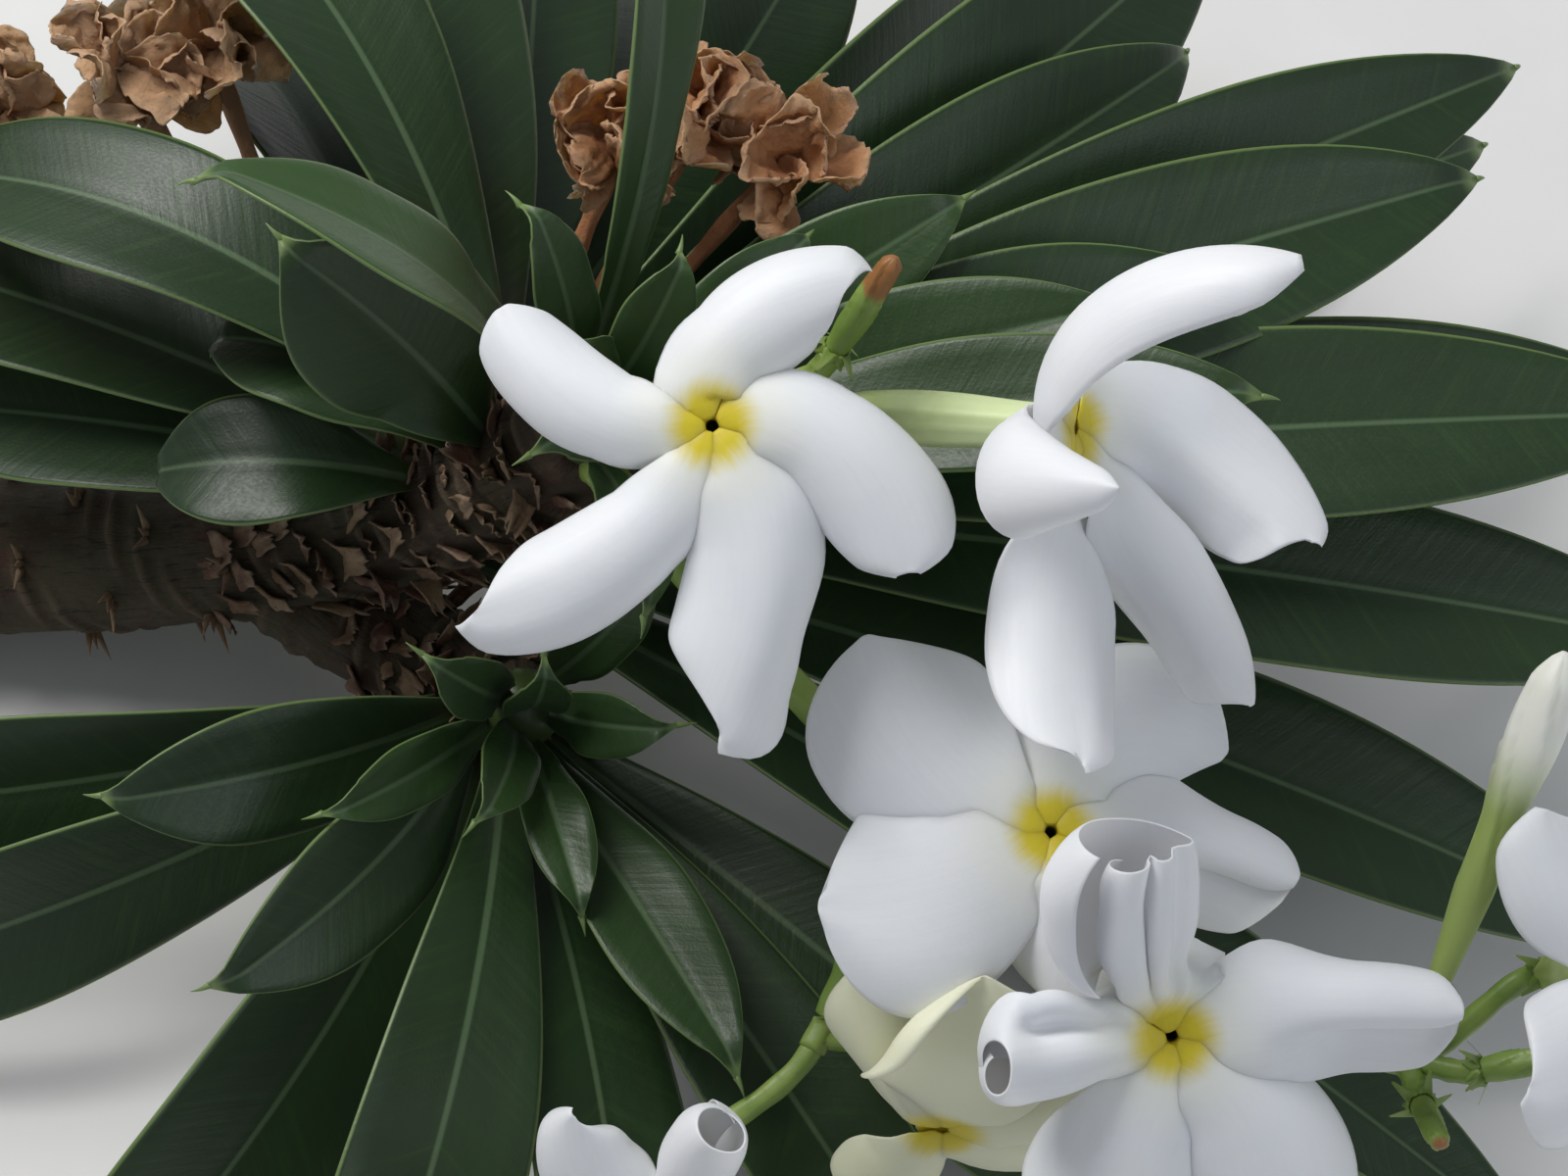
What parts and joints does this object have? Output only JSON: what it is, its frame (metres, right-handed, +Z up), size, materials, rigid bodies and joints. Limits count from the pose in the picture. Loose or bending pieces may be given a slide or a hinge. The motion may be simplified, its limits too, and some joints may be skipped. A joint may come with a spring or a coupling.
{
  "type": "cut flowering branch of a madagascar palm",
  "caption": "Cut succulent branch lying on its side: thick bare stem, rosettes of long leathery leaves and white five-petalled flowers with yellow throats.",
  "frame": {"origin": "on the surface that the branch lies on, below the middle of its bounding box", "axes": "+X from the stem's cut end towards the flowers, +Y towards the leaves behind, +Z up"},
  "size_m": [0.4338, 0.3634, 0.2314],
  "materials": {
    "stem_bark": "rough olive-brown bark",
    "leaf_green": "leathery, satin",
    "green_stalk": "smooth, satin",
    "petals": "soft, matt",
    "dry_petals": "papery, matt"
  },
  "bodies": {
    "root": {"bud_1": "green_stalk", "dry_blossom_1": "dry_petals", "dry_blossom_2": "dry_petals", "flower_1": "petals", "flower_2": "petals", "flower_3": "petals", "flower_4": "petals", "flower_5": "petals", "flower_6": "petals", "flower_7": "petals", "flower_8": "petals", "flower_stalk_lower": "green_stalk", "flower_stalk_upper": "green_stalk", "heart_a": "leaf_green", "heart_b": "leaf_green", "leaf_a01": "leaf_green", "leaf_a02": "leaf_green", "leaf_a03": "leaf_green", "leaf_a04": "leaf_green", "leaf_a05": "leaf_green", "leaf_a06": "leaf_green", "leaf_a07": "leaf_green", "leaf_a08": "leaf_green", "leaf_a09": "leaf_green", "leaf_a10": "leaf_green", "leaf_a11": "leaf_green", "leaf_a12": "leaf_green", "leaf_a13": "leaf_green", "leaf_a14": "leaf_green", "leaf_a15": "leaf_green", "leaf_a16": "leaf_green", "leaf_a17": "leaf_green", "leaf_a18": "leaf_green", "leaf_a19": "leaf_green", "leaf_a20": "leaf_green", "leaf_a21": "leaf_green", "leaf_a22": "leaf_green", "leaf_a23": "leaf_green", "leaf_a24": "leaf_green", "leaf_a25": "leaf_green", "leaf_a26": "leaf_green", "leaf_a27": "leaf_green", "leaf_a28": "leaf_green", "leaf_a29": "leaf_green", "leaf_a30": "leaf_green", "leaf_a31": "leaf_green", "leaf_b01": "leaf_green", "leaf_b02": "leaf_green", "leaf_b03": "leaf_green", "leaf_b04": "leaf_green", "leaf_b05": "leaf_green", "leaf_b06": "leaf_green", "leaf_b07": "leaf_green", "leaf_b08": "leaf_green", "leaf_b09": "leaf_green", "leaf_b10": "leaf_green", "side_shoot": "stem_bark", "stem": "stem_bark"}
  },
  "joints": []
}
